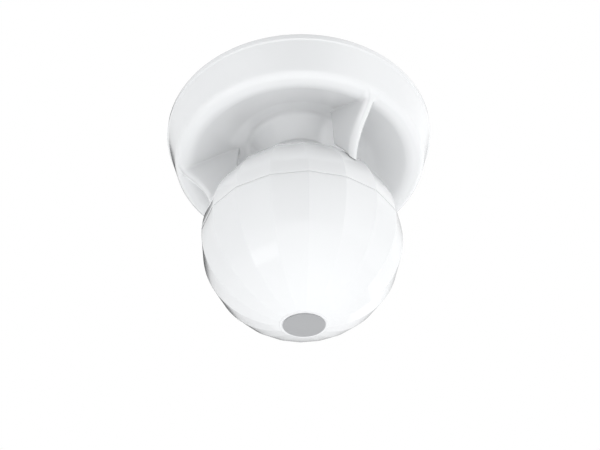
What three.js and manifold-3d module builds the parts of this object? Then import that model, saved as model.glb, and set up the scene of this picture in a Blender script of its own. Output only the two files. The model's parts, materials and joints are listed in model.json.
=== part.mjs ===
import * as THREE from 'three';
import { mergeVertices } from 'three/addons/utils/BufferGeometryUtils.js';
import Module from 'manifold-3d';

// Ceiling motion sensor: a gored ball hung from a dished canopy by a neck and three fins.
// Millimetres. Origin at the centre of the ceiling face, +Z up, the room below.

// ---------------------------------------------------------------- driving dimensions
const RIM_R = 75;                 // canopy edge on the ceiling
const DISH_SEGMENTS = 48;
const GORES = 18;                 // flat-sided gores round the ball
const BALL_R = 51.2;              // radius to the gore edges
const BALL_Z = -71.0;             // ball centre
const WALL = 2.4;                 // ball wall
const SEAM_Z = -71.3;             // parting line of the ball
const UPPER_FLATTEN = 0.972;      // the upper half is slightly flatter than a sphere
const BALL_TOP_Z = -26.0;         // flat land under the neck
const BALL_BOTTOM_Z = -121.1;     // flat for the badge
const FIN_T = 5.2;                // fin thickness
const FIN_ANGLES = [60, 180, 300];
const NECK_BOTTOM_Z = -25.7;
const PLATE_R = 70.5;
const PLATE_T = 1.6;
const BAYONET_ANGLES = [0, 120, 240];
const BOX_SCREW_R = 44.45;        // 88.9 mm screw spacing of a ceiling box
const BOARD_R = 40;
const BOARD_TOP_Z = -61.2;
const BOARD_T = 1.6;
const BOARD_BOSS_R = 34;
const BOARD_BOSS_ANGLES = [30, 150, 270];
const HUB_SCREW_R = 13;
const HUB_SCREW_ANGLES = [0, 120, 240];
const CONTACT_R = 9;
const CONTACT_ANGLES = [60, 150, 210, 300];
const TERMINAL_R = 14;
const BADGE_R = 9.95;
const GAP = 0.3;

// ---------------------------------------------------------------- solids
const wasm = await Module();
wasm.setup();
const RAD = Math.PI / 180;

function clean(geometry) {
  const g = geometry.index ? geometry.toNonIndexed() : geometry.clone();
  for (const name of Object.keys(g.attributes)) if (name !== 'position') g.deleteAttribute(name);
  const merged = mergeVertices(g, 1e-4);
  const index = merged.index.array;
  const keep = [];
  for (let i = 0; i < index.length; i += 3) {
    const [a, b, c] = [index[i], index[i + 1], index[i + 2]];
    if (a !== b && b !== c && a !== c) keep.push(a, b, c);
  }
  const p = merged.attributes.position;
  let volume = 0;
  for (let i = 0; i < keep.length; i += 3) {
    const [a, b, c] = [keep[i], keep[i + 1], keep[i + 2]];
    volume += p.getX(a) * (p.getY(b) * p.getZ(c) - p.getZ(b) * p.getY(c))
      - p.getY(a) * (p.getX(b) * p.getZ(c) - p.getZ(b) * p.getX(c))
      + p.getZ(a) * (p.getX(b) * p.getY(c) - p.getY(b) * p.getX(c));
  }
  if (volume < 0) for (let i = 0; i < keep.length; i += 3) [keep[i + 1], keep[i + 2]] = [keep[i + 2], keep[i + 1]];
  merged.setIndex(keep);
  return merged;
}

function solid(geometry) {
  const g = clean(geometry);
  return new wasm.Manifold(new wasm.Mesh({
    numProp: 3,
    vertProperties: new Float32Array(g.attributes.position.array),
    triVerts: new Uint32Array(g.index.array),
  }));
}

function toGeometry(manifold) {
  const m = manifold.getMesh();
  const g = new THREE.BufferGeometry();
  const xyz = new Float32Array(m.numVert * 3);
  for (let i = 0; i < m.numVert; i++) for (let k = 0; k < 3; k++) xyz[3 * i + k] = m.vertProperties[i * m.numProp + k];
  g.setAttribute('position', new THREE.BufferAttribute(xyz, 3));
  g.setIndex(Array.from(m.triVerts));
  return g;
}

// profile is [[r, z], ...]; a gore edge or segment edge lies on -Y
function lathe(profile, segments) {
  const g = new THREE.LatheGeometry(profile.map(([r, z]) => new THREE.Vector2(Math.max(r, 0), z)), segments);
  g.rotateX(Math.PI / 2);
  return solid(g);
}
const ring = (profile, segments) => lathe([...profile, profile[0]], segments);

function rod(r, z0, z1, segments = 12, x = 0, y = 0) {
  const g = new THREE.CylinderGeometry(r, r, z1 - z0, segments);
  g.rotateX(Math.PI / 2);
  g.translate(x, y, (z0 + z1) / 2);
  return solid(g);
}

function box(x0, x1, y0, y1, z0, z1) {
  const g = new THREE.BoxGeometry(x1 - x0, y1 - y0, z1 - z0);
  g.translate((x0 + x1) / 2, (y0 + y1) / 2, (z0 + z1) / 2);
  return solid(g);
}

function prism(points, z0, z1) {
  const g = new THREE.ExtrudeGeometry(new THREE.Shape(points.map(([x, y]) => new THREE.Vector2(x, y))),
    { depth: z1 - z0, bevelEnabled: false });
  g.translate(0, 0, z0);
  return solid(g);
}

// block with cut or rounded vertical corners
function block(w, d, z0, z1, corner, x = 0, y = 0, steps = 1) {
  const pts = [];
  for (const [sx, sy, a0] of [[1, 1, 0], [-1, 1, 90], [-1, -1, 180], [1, -1, 270]]) {
    for (let k = 0; k <= steps; k++) {
      const a = (a0 + 90 * k / steps) * RAD;
      pts.push([x + sx * (w / 2 - corner) + corner * Math.cos(a), y + sy * (d / 2 - corner) + corner * Math.sin(a)]);
    }
  }
  return prism(pts, z0, z1);
}

function sector(r0, r1, a0, a1, z0, z1) {
  const n = Math.max(2, Math.round((a1 - a0) / 4));
  const pts = [];
  for (let k = 0; k <= n; k++) { const a = (a0 + (a1 - a0) * k / n) * RAD; pts.push([r1 * Math.cos(a), r1 * Math.sin(a)]); }
  for (let k = n; k >= 0; k--) { const a = (a0 + (a1 - a0) * k / n) * RAD; pts.push([r0 * Math.cos(a), r0 * Math.sin(a)]); }
  return prism(pts, z0, z1);
}

function tube(points, radius, sides, steps) {
  const curve = new THREE.CatmullRomCurve3(points.map((p) => new THREE.Vector3(...p)), false, 'centripetal');
  const section = new THREE.Shape();
  for (let k = 0; k < sides; k++) {
    const a = 2 * Math.PI * k / sides;
    if (k === 0) section.moveTo(radius * Math.cos(a), radius * Math.sin(a));
    else section.lineTo(radius * Math.cos(a), radius * Math.sin(a));
  }
  section.closePath();
  return solid(new THREE.ExtrudeGeometry(section, { steps, extrudePath: curve, bevelEnabled: false }));
}

const turn = (s, deg) => s.rotate([0, 0, deg]);
const at = (r, deg) => [r * Math.cos(deg * RAD), r * Math.sin(deg * RAD)];
const union = (list) => list.reduce((a, b) => a.add(b));

// ---------------------------------------------------------------- pieces
const sensor = new THREE.Group();
const MATERIALS = {
  white: { color: 0xf2f3f3, roughness: 0.22, metalness: 0 },
  badge: { color: 0xb9bbbc, roughness: 0.4, metalness: 0 },
  plate: { color: 0xe6e6e2, roughness: 0.5, metalness: 0 },
  carrier: { color: 0x2b2d30, roughness: 0.55, metalness: 0 },
  rubber: { color: 0x232427, roughness: 0.85, metalness: 0 },
  brass: { color: 0xc8a24a, roughness: 0.35, metalness: 1 },
  steel: { color: 0xb9bcc0, roughness: 0.35, metalness: 1 },
  board: { color: 0x1f6a3c, roughness: 0.5, metalness: 0 },
  relay: { color: 0x1f4f9c, roughness: 0.45, metalness: 0 },
  ferrite: { color: 0x3a3a3d, roughness: 0.7, metalness: 0 },
  winding: { color: 0xd6b23a, roughness: 0.5, metalness: 0 },
  sleeve: { color: 0x24303f, roughness: 0.35, metalness: 0 },
  varistor: { color: 0x2f5fae, roughness: 0.4, metalness: 0 },
  nylon: { color: 0xe9e6dc, roughness: 0.5, metalness: 0 },
  chip: { color: 0x1b1c1e, roughness: 0.6, metalness: 0 },
  led: { color: 0xd03a32, roughness: 0.2, metalness: 0 },
  clear: { color: 0xdfe6ea, roughness: 0.15, metalness: 0 },
  trimmer: { color: 0x2f6fb4, roughness: 0.5, metalness: 0 },
  dial: { color: 0xf0efe9, roughness: 0.45, metalness: 0 },
  lead: { color: 0x8a2f2b, roughness: 0.5, metalness: 0 },
};

function piece(name, manifold, material, group = sensor) {
  const mesh = new THREE.Mesh(toGeometry(manifold), new THREE.MeshStandardMaterial(MATERIALS[material]));
  mesh.name = name;
  group.add(mesh);
  return mesh;
}

// --- ball envelope: profile along a gore edge, revolved in eighteen flat steps
function ballProfile(radius, zLow, zHigh, steps) {
  const angle = (z) => Math.asin(Math.max(-1, Math.min(1, (z - BALL_Z) / (z > BALL_Z ? radius * UPPER_FLATTEN : radius))));
  const [a0, a1] = [angle(zLow), angle(zHigh)];
  const pts = [[0, zLow]];
  for (let k = 0; k <= steps; k++) {
    const a = a0 + (a1 - a0) * k / steps;
    pts.push([radius * Math.cos(a), BALL_Z + radius * Math.sin(a) * (a > 0 ? UPPER_FLATTEN : 1)]);
  }
  pts.push([0, zHigh]);
  return pts;
}
const ballEdgeR = (radius, z) => Math.sqrt(Math.max(0, radius * radius - (z - BALL_Z) ** 2));

// --- canopy: room side profile from the ceiling edge to the foot of the neck
const ROOM_SIDE = [
  [RIM_R, 0], [74.2, -4.2], [69.6, -17.8], [68.7, -20.8], [66.8, -22.6], [64.0, -23.0], [61.2, -22.7], [58.2, -21.4],
  [46.8, -13.8], [40.5, -9.6], [35.0, -6.9], [30.8, -5.6], [28.0, -6.2], [25.6, -9.0], [20.7, -16.4], [19.4, -16.9], [18.2, NECK_BOTTOM_Z],
];
// ceiling side profile from the foot of the neck back to the ceiling edge
const CEILING_SIDE = [
  [15.8, NECK_BOTTOM_Z], [17.7, -17.0], [23.0, -8.4], [26.4, -4.2], [29.0, -3.2], [34.2, -4.1], [39.6, -6.6],
  [55.0, -16.5], [59.8, -19.7], [63.8, -20.6], [66.4, -19.3], [67.3, -17.2], [71.8, -4.0], [72.6, 0],
];
const canopyShell = ring([...ROOM_SIDE, ...CEILING_SIDE], DISH_SEGMENTS);
const canopyFull = lathe([[0, 0], ...ROOM_SIDE, [0, NECK_BOTTOM_Z]], DISH_SEGMENTS);

// fin outline in the radial plane; its top runs inside the dish wall, its foot follows the ball
// closely from the tip to about 42 mm and then clears it towards the hub
const ballMidZ = (r) => BALL_Z + UPPER_FLATTEN * Math.sqrt(BALL_R ** 2 - (r / Math.cos(Math.PI / GORES)) ** 2);
const finFoot = [[47.1, 0.95], [44.6, 0.95], [42.2, 1.05], [39.2, 1.4], [36.8, 2.2], [35.0, 3.6]].map(([r, gap]) => [r, ballMidZ(r) + gap]);
const FIN_OUTLINE = [
  [34.6, -5.6], [40.5, -8.2], [46.8, -12.2], [57.4, -18.9], [61.2, -20.9], [64.4, -21.7],
  [65.4, -23.4], [63.0, -26.5], [59.4, -30.1], [55.4, -34.1], [51.8, -39.0], [49.0, -44.6],
  ...finFoot, [34.4, -16], [34.2, -9],
];
function fin(deg) {
  const g = new THREE.ExtrudeGeometry(new THREE.Shape(FIN_OUTLINE.map(([r, z]) => new THREE.Vector2(r, z))),
    { depth: FIN_T, bevelEnabled: false });
  g.rotateX(Math.PI / 2);
  g.translate(0, FIN_T / 2, 0);
  return turn(solid(g), deg);
}
const hubBosses = union(HUB_SCREW_ANGLES.map((a) => {
  const [x, y] = at(HUB_SCREW_R, a);
  return rod(2.9, NECK_BOTTOM_Z, -14.3, 16, x, y).add(turn(box(HUB_SCREW_R, 22, -1.3, 1.3, NECK_BOTTOM_Z, -14.3), a));
})).intersect(canopyFull);
const hubHoles = union(HUB_SCREW_ANGLES.map((a) => {
  const [x, y] = at(HUB_SCREW_R, a);
  return rod(1.5, NECK_BOTTOM_Z - 1, -18.0, 12, x, y).add(rod(1.3, -16.9, -13, 12, x, y));
}));
const lugs = union(BAYONET_ANGLES.map((a) => sector(65.2, 73, a - 6, a + 6, -8.0, -5.6))).intersect(canopyFull);
const canopy = union([canopyShell, ...FIN_ANGLES.map(fin), hubBosses, lugs]).subtract(hubHoles);
piece('canopy', canopy, 'white');

// --- mounting plate with screw slots, cable hole and three bayonet ledges
let plate = lathe([[0, 0], [PLATE_R, 0], [PLATE_R, -PLATE_T], [0, -PLATE_T]], DISH_SEGMENTS);
for (const a of BAYONET_ANGLES) {
  plate = union([plate, sector(61.5, 63.5, a - 9, a + 8, -10.5, -PLATE_T + 0.2), sector(61.5, 68.2, a - 9, a + 8, -10.5, -8.3),
    sector(63.4, 68.2, a - 9, a - 7.4, -10.5, -PLATE_T + 0.2)]);
}
for (const a of [0, 90, 180, 270]) {
  const slot = block(7, 4.6, -5, 1, 2.29, BOX_SCREW_R, 0, 3);
  plate = plate.subtract(turn(slot, a));
}
const CABLE_XY = [0, 18];
plate = plate.subtract(rod(5, -3, 1, 20, ...CABLE_XY));
piece('mounting_plate', plate, 'plate');

const grommetRing = (bore, neck, flange, z) => ring([[bore, z[0]], [flange, z[0]], [flange, z[1]], [neck, z[1]], [neck, z[2]], [flange, z[2]], [flange, z[3]], [bore, z[3]]], 20);
// upper flange left off on the ceiling side, so the plate sits flat
piece('cable_grommet', ring([[3.2, -0.1], [4.7, -0.1], [4.7, -1.9], [5.9, -1.9], [5.6, -3.4], [3.6, -3.4], [3.2, -2.8]], 20).translate([...CABLE_XY, 0]), 'rubber');

// --- terminal block, spring contacts and terminal screws
let terminalBlock = lathe([[0, -PLATE_T - GAP], [16.8, -PLATE_T - GAP], [16.8, -5.0], [16.2, -5.5], [0, -5.5]], 36);
terminalBlock = terminalBlock.subtract(rod(6.9, -7, 0, 20, ...CABLE_XY));
for (const a of CONTACT_ANGLES) {
  const [x, y] = at(TERMINAL_R, a);
  terminalBlock = terminalBlock.subtract(rod(1.75, -7, -2.6, 12, x, y));
}
piece('terminal_block', terminalBlock, 'carrier');

function screw(headR, headH, shankR, shankL, z, segments = 10) {
  // z is the underside of the head; the head hangs below it and the shank rises above it
  const body = lathe([[0, z - headH], [headR * 0.72, z - headH], [headR, z - headH * 0.5], [headR, z], [shankR, z],
    [shankR, z + shankL], [0, z + shankL]], segments);
  const w = headR * 0.2;
  const l = headR * 0.6;
  const d = headH * 0.5;
  return body.subtract(box(-l, l, -w, w, z - headH - 1, z - headH + d).add(box(-w, w, -l, l, z - headH - 1, z - headH + d)));
}

CONTACT_ANGLES.forEach((a, i) => {
  const strip = box(7.6, 17.0, -2, 2, -6.5, -5.8).subtract(rod(1.75, -8, -4, 12, TERMINAL_R, 0));
  const leaves = box(7.6, 8.1, -2, 2, -11.0, -6.3).add(box(9.9, 10.4, -2, 2, -11.0, -6.3));
  piece(`base_contact_${i + 1}`, turn(strip.add(leaves), a), 'brass');
  piece(`terminal_screw_${i + 1}`, turn(screw(2.6, 1.9, 1.4, 3.6, -6.8).translate([TERMINAL_R, 0, 0]), a), 'steel');
});

// --- contact disc in the neck with four blades
let disc = lathe([[0, -14.0], [17.2, -14.0], [17.2, -12.4], [0, -12.4]], 36);
for (const a of CONTACT_ANGLES) disc = disc.subtract(turn(box(CONTACT_R - 0.55, CONTACT_R + 0.55, -2.3, 2.3, -16, -10), a));
for (const a of HUB_SCREW_ANGLES) disc = disc.subtract(rod(1.5, -16, -10, 12, ...at(HUB_SCREW_R, a)));
piece('contact_disc', disc, 'carrier');
CONTACT_ANGLES.forEach((a, i) => {
  const blade = union([box(CONTACT_R - 0.25, CONTACT_R + 0.25, -2, 2, -14.6, -7.2),
    box(CONTACT_R - 0.9, CONTACT_R + 0.9, -2.9, 2.9, -15.1, -14.3), box(CONTACT_R - 0.25, CONTACT_R + 0.25, -1, 1, -17.2, -15.0)]);
  piece(`contact_blade_${i + 1}`, turn(blade, a), 'brass');
});
HUB_SCREW_ANGLES.forEach((a, i) => {
  const s = screw(2.3, 1.5, 1.0, 3.6, 0).rotate([180, 0, 0]).translate([HUB_SCREW_R, 0, -12.1]);
  piece(`disc_screw_${i + 1}`, turn(s, a), 'steel');
});

// --- upper half of the ball
const outerTop = lathe(ballProfile(BALL_R, SEAM_Z + GAP / 2, BALL_TOP_Z, 9), GORES);
const innerTop = lathe(ballProfile(BALL_R - WALL, SEAM_Z + GAP / 2 - 1, BALL_TOP_Z - WALL, 8), GORES);
let upperShell = outerTop.subtract(innerTop);
const boardBosses = union(BOARD_BOSS_ANGLES.map((a) => rod(3.4, BOARD_TOP_Z + GAP, -30, 14, ...at(BOARD_BOSS_R, a)))).intersect(outerTop);
upperShell = upperShell.add(boardBosses);
upperShell = upperShell.subtract(rod(8, -32, -22, 24));
for (const a of HUB_SCREW_ANGLES) upperShell = upperShell.subtract(rod(1.7, -32, -22, 12, ...at(HUB_SCREW_R, a)));
for (const a of BOARD_BOSS_ANGLES) upperShell = upperShell.subtract(rod(1.5, BOARD_TOP_Z - 1, -50, 12, ...at(BOARD_BOSS_R, a)));
piece('upper_shell', upperShell, 'white');
HUB_SCREW_ANGLES.forEach((a, i) => piece(`hub_screw_${i + 1}`,
  turn(screw(2.6, 1.9, 1.2, 10.0, BALL_TOP_Z - WALL - GAP).translate([HUB_SCREW_R, 0, 0]), a), 'steel'));
piece('neck_grommet', grommetRing(4.2, 7.7, 9.6, [-30.1, -28.7, -25.7, -24.4]), 'rubber');

// --- lower half of the ball with its spigot and the tamper rib
const outerLow = lathe(ballProfile(BALL_R, BALL_BOTTOM_Z, SEAM_Z - GAP / 2, 11), GORES);
const innerLow = lathe(ballProfile(BALL_R - WALL, BALL_Z - BALL_R + WALL + 1.4, SEAM_Z + 1, 10), GORES);
const spigotLow = ballEdgeR(BALL_R - WALL, -74.5) * Math.cos(Math.PI / GORES);
const spigot = ring([[45.4, -66.2], [46.5, -66.2], [47.0, -66.8], [47.0, -68.3], [46.0, -68.3], [46.0, -69.9], [47.0, -69.9],
  [47.0, -72.2], [spigotLow + 0.8, -74.5], [spigotLow - 0.4, -76.4], [45.4, -72.6]], 36);
let lowerShell = outerLow.subtract(innerLow).add(spigot);
const TAMPER_XY = [34.5, 0];
const tamperRib = box(32.6, 46.2, -2.2, 2.2, -72.4, -70.9).add(box(39, 46.2, -0.9, 0.9, -77.5, -72.0));
lowerShell = lowerShell.add(tamperRib);
piece('lower_shell', lowerShell, 'white');
piece('seam_gasket', ring([[46.3, -69.6], [47.5, -69.6], [47.7, -69.1], [47.5, -68.6], [46.3, -68.6]], 36), 'rubber');
piece('badge', lathe([[0, BALL_BOTTOM_Z - GAP], [BADGE_R, BALL_BOTTOM_Z - GAP], [BADGE_R, BALL_BOTTOM_Z - 0.6],
  [BADGE_R - 0.2, BALL_BOTTOM_Z - 0.8], [0, BALL_BOTTOM_Z - 0.8]], 36), 'badge');

// --- main board and what stands on it, inside the upper half
const ZT = BOARD_TOP_Z + GAP;                 // seat of parts on the board's upper side
const ZB = BOARD_TOP_Z - BOARD_T - GAP;       // seat of parts on its lower side
let board = lathe([[0, BOARD_TOP_Z - BOARD_T], [BOARD_R, BOARD_TOP_Z - BOARD_T], [BOARD_R, BOARD_TOP_Z], [0, BOARD_TOP_Z]], 48);
for (const a of BOARD_BOSS_ANGLES) board = board.subtract(rod(1.8, -70, -50, 12, ...at(BOARD_BOSS_R, a)));
board = board.subtract(box(-6, 6, 37.5, 45, -70, -50)).subtract(box(-44, -37.5, -3, 3, -70, -50));
piece('main_board', board, 'board');
BOARD_BOSS_ANGLES.forEach((a, i) => piece(`board_screw_${i + 1}`,
  turn(screw(2.7, 2.0, 1.2, 10.5, BOARD_TOP_Z - BOARD_T - GAP).translate([BOARD_BOSS_R, 0, 0]), a), 'steel'));

piece('relay', block(19, 15.5, ZT, ZT + 15.6, 0.8, 16, -12).subtract(
  box(6.9, 25.1, -19.4, -4.6, ZT - 1, ZT + 0.5).subtract(box(8, 24, -18.4, -5.6, ZT - 2, ZT + 2))), 'relay');
const coreOut = block(18, 9, ZT, ZT + 16, 0.5, -17, -11);
const coreWindow = box(-23.5, -10.5, -20, 0, ZT + 3, ZT + 13);
piece('transformer_core', coreOut.subtract(coreWindow).add(box(-23.6, -22.2, -15.5, -6.5, ZT, ZT + 16)), 'ferrite');
const winding = block(11.4, 15, ZT + 3.4, ZT + 12.6, 2.2, -16.4, -11, 3);
piece('transformer_winding', winding, 'winding');
function can(r, h, x, y) {
  return lathe([[0, ZT], [r - 0.3, ZT], [r, ZT + 0.4], [r, ZT + 1.4], [r - 0.35, ZT + 1.8], [r - 0.35, ZT + 2.1], [r, ZT + 2.5],
    [r, ZT + h - 0.5], [r - 0.5, ZT + h], [0, ZT + h]], 20).translate([x, y, 0]);
}
piece('filter_capacitor', can(5.2, 20, 19, 12), 'sleeve');
piece('output_capacitor', can(4.0, 12, 6, 21), 'sleeve');
piece('surge_varistor', lathe([[0, -2.1], [5.2, -2.1], [6.4, -1.2], [6.8, 0], [6.4, 1.2], [5.2, 2.1], [0, 2.1]], 18)
  .rotate([90, 0, 20]).translate([-6, 24, ZT + 9]).add(box(-8.6, -7.8, 23.4, 24.2, ZT, ZT + 5)).add(box(-4.2, -3.4, 23.8, 24.6, ZT, ZT + 5)), 'varistor');

// board connector and plug with the four leads from the contact blades
const PLUG = [-15, 9];
piece('harness_socket', block(14, 7, ZT, ZT + 7, 0.4, ...PLUG).subtract(box(PLUG[0] - 6, PLUG[0] + 6, PLUG[1] - 2.5, PLUG[1] + 2.5, ZT + 1.2, ZT + 9)), 'nylon');
piece('harness_plug', block(11.4, 4.4, ZT + 1.5, ZT + 11, 0.3, ...PLUG).add(box(PLUG[0] - 2, PLUG[0] + 2, PLUG[1] + 2, PLUG[1] + 3.9, ZT + 8, ZT + 10.4)), 'nylon');
CONTACT_ANGLES.forEach((a, i) => {
  const [bx, by] = at(CONTACT_R, a);
  const [gx, gy] = at(2.1, a);
  const spread = [4.2, 1.4, -1.4, -4.2][[0, 3, 1, 2].indexOf(i)];
  const px = PLUG[0] + spread;
  piece(`lead_${i + 1}`, tube([[bx, by, -17.6], [bx * 0.86, by * 0.86, -19.0], [gx, gy, -22.6], [gx, gy, -30.6],
    [gx * 1.5 - 2.5, gy * 1.5 + 1.5, -34.6], [PLUG[0] * 0.55 + spread, PLUG[1] * 0.55, -39.5], [px, PLUG[1], -45], [px, PLUG[1], ZT + 11.4]], 0.75, 6, 17), 'lead');
});

// --- lower side of the board: radar module, indicators, trimmers and tamper switch
const RADAR_TOP = -72.6;
piece('radar_header', block(17.5, 2.5, RADAR_TOP + GAP, ZB, 0.4, 0, 14.5), 'carrier');
piece('radar_board', block(38, 36, RADAR_TOP - 1.0, RADAR_TOP, 1.5, 0, 0, 2), 'board');
piece('radar_shield', block(26, 20, RADAR_TOP + GAP, RADAR_TOP + GAP + 4, 0.8, 0, -2, 2).subtract(block(25, 19, RADAR_TOP - 1, RADAR_TOP + GAP + 3.5, 0.5, 0, -2, 2)), 'steel');
piece('microcontroller', block(9, 9, ZB - 1.4, ZB, 0.5, 24.5, 4), 'chip');
piece('status_led', lathe([[0, ZB], [1.9, ZB], [1.9, ZB - 1], [1.5, ZB - 1], [1.5, ZB - 3.4], [1.2, ZB - 4.3], [0.6, ZB - 4.8], [0, ZB - 4.9]], 14).translate([-33, 5, 0]), 'led');
piece('light_sensor', lathe([[0, ZB], [1.9, ZB], [1.9, ZB - 1], [1.5, ZB - 1], [1.5, ZB - 3.4], [1.2, ZB - 4.3], [0.6, ZB - 4.8], [0, ZB - 4.9]], 14).translate([-33, -5, 0]), 'clear');

const TRIMMERS = [['sensitivity', 205], ['time', 228], ['light_level', 251]];
for (const [name, a] of TRIMMERS) {
  const [x, y] = at(30, a);
  piece(`${name}_trimmer_body`, turn(block(7.5, 7.5, ZB - 3.6, ZB, 0.6).subtract(rod(2.65, ZB - 5, ZB - 1.2, 16)), a).translate([x, y, 0]), 'trimmer');
  const dial = lathe([[0, ZB - 5.6], [2.6, ZB - 5.6], [3.2, ZB - 5.0], [3.2, ZB - 3.9], [2.3, ZB - 3.9], [2.3, ZB - 1.5], [0, ZB - 1.5]], 18)
    .subtract(box(-2.2, 2.2, -0.4, 0.4, ZB - 7, ZB - 4.6)).subtract(box(-0.4, 0.4, -1.4, 1.4, ZB - 7, ZB - 4.6))
    .subtract(box(2.6, 4, -0.5, 0.5, ZB - 7, ZB - 2));
  piece(`${name}_dial`, turn(dial, a).translate([x, y, 0]), 'dial');
}

const tamperBody = block(6.2, 6.2, ZB - 3.2, ZB, 0.5).subtract(rod(1.25, ZB - 4, ZB - 0.5, 14));
piece('tamper_switch_body', tamperBody.translate([...TAMPER_XY, 0]), 'carrier');
const plunger = lathe([[0, -70.6], [0.6, -70.6], [0.9, -70.3], [0.9, -69.8], [2.3, -69.8], [2.3, -69.2], [0.9, -69.2], [0.9, ZB - 1.5], [0, ZB - 1.5]], 14);
piece('tamper_plunger', plunger.translate([...TAMPER_XY, 0]), 'nylon');
const SPRING = { r: 1.65, wire: 0.18, top: ZB - 3.2 - GAP, bottom: -68.9, turns: 3 };
const coil = [];
for (let k = 0; k <= 24; k++) {
  const a = 2 * Math.PI * SPRING.turns * k / 24;
  const h = SPRING.top - SPRING.wire - (SPRING.top - SPRING.bottom - 2 * SPRING.wire) * k / 24;
  coil.push([SPRING.r * Math.cos(a), SPRING.r * Math.sin(a), h]);
}
piece('tamper_spring', tube(coil, SPRING.wire, 4, 30).translate([...TAMPER_XY, 0]), 'steel');

export default sensor;
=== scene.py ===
import bpy, json, math
import numpy as np
from mathutils import Vector, Matrix


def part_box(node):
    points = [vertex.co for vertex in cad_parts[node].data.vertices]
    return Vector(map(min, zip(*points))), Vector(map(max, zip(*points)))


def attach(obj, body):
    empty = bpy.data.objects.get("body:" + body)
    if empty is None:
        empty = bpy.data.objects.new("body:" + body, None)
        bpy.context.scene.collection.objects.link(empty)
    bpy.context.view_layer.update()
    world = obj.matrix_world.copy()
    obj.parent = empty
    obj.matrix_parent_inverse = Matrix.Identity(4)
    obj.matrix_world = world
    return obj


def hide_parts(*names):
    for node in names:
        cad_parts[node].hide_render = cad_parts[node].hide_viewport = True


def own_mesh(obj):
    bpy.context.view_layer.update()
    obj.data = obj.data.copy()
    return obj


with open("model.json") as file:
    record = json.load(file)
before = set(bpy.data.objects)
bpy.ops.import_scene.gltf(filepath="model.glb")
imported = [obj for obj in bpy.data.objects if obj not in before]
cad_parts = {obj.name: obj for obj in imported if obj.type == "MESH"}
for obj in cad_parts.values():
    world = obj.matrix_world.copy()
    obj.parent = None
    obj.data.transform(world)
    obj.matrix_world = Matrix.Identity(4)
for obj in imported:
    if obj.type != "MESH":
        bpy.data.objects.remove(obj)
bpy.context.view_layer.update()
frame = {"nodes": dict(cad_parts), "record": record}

NODES = frame["nodes"]
scene = bpy.context.scene
MM = 0.001
rng = np.random.default_rng(7)

# ------------------------------------------------------------------ driving sizes, mm, as in the CAD
RIM_R = 75.0
GORES = 18
BALL_R, BALL_Z, WALL = 51.2, -71.0, 2.4
SEAM_Z = -71.3
BALL_TOP_Z, BALL_BOTTOM_Z = -26.0, -121.1
FLATTEN = 0.972
NECK_Z = -25.7
FIN_T, FIN_ANGLES = 5.2, (60, 180, 300)
BADGE_R = 10.0


# ------------------------------------------------------------------ node materials
def new_material(name):
    m = bpy.data.materials.new(name)
    m.use_nodes = True
    nt = m.node_tree
    return m, nt, nt.nodes["Principled BSDF"]


def coords(nt, scale=1.0):
    tc = nt.nodes.new("ShaderNodeTexCoord")
    mp = nt.nodes.new("ShaderNodeMapping")
    mp.inputs["Scale"].default_value = (scale, scale, scale) if np.isscalar(scale) else scale
    nt.links.new(tc.outputs["Object"], mp.inputs["Vector"])
    return mp.outputs["Vector"]


def noise(nt, vec, scale, detail=4.0, rough=0.55):
    n = nt.nodes.new("ShaderNodeTexNoise")
    n.inputs["Scale"].default_value = scale
    n.inputs["Detail"].default_value = detail
    n.inputs["Roughness"].default_value = rough
    nt.links.new(vec, n.inputs["Vector"])
    return n.outputs["Fac"]


def ramp(nt, fac, stops):
    r = nt.nodes.new("ShaderNodeValToRGB")
    els = r.color_ramp.elements
    while len(els) < len(stops):
        els.new(0.5)
    for e, (p, c) in zip(els, stops):
        e.position = p
        e.color = (*c, 1.0) if len(c) == 3 else c
    nt.links.new(fac, r.inputs["Fac"])
    return r.outputs["Color"]


def maprange(nt, fac, a, b, c, d):
    r = nt.nodes.new("ShaderNodeMapRange")
    for k, v in zip(("From Min", "From Max", "To Min", "To Max"), (a, b, c, d)):
        r.inputs[k].default_value = v
    nt.links.new(fac, r.inputs["Value"])
    return r.outputs["Result"]


def mix(nt, fac, a, b, mode="MIX"):
    m = nt.nodes.new("ShaderNodeMix")
    m.data_type = "RGBA"
    m.blend_type = mode
    if hasattr(fac, "is_linked") or hasattr(fac, "links"):
        nt.links.new(fac, m.inputs["Factor"])
    else:
        m.inputs["Factor"].default_value = fac
    for key, v in (("A", a), ("B", b)):
        sock = [s for s in m.inputs if s.name == key and s.type == "RGBA"][0]
        if isinstance(v, (tuple, list)):
            sock.default_value = (*v, 1.0) if len(v) == 3 else v
        else:
            nt.links.new(v, sock)
    return [s for s in m.outputs if s.type == "RGBA"][0]


def bump(nt, bsdf, height, strength, distance):
    b = nt.nodes.new("ShaderNodeBump")
    b.inputs["Strength"].default_value = strength
    b.inputs["Distance"].default_value = distance
    nt.links.new(height, b.inputs["Height"])
    nt.links.new(b.outputs["Normal"], bsdf.inputs["Normal"])
    return b


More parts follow.
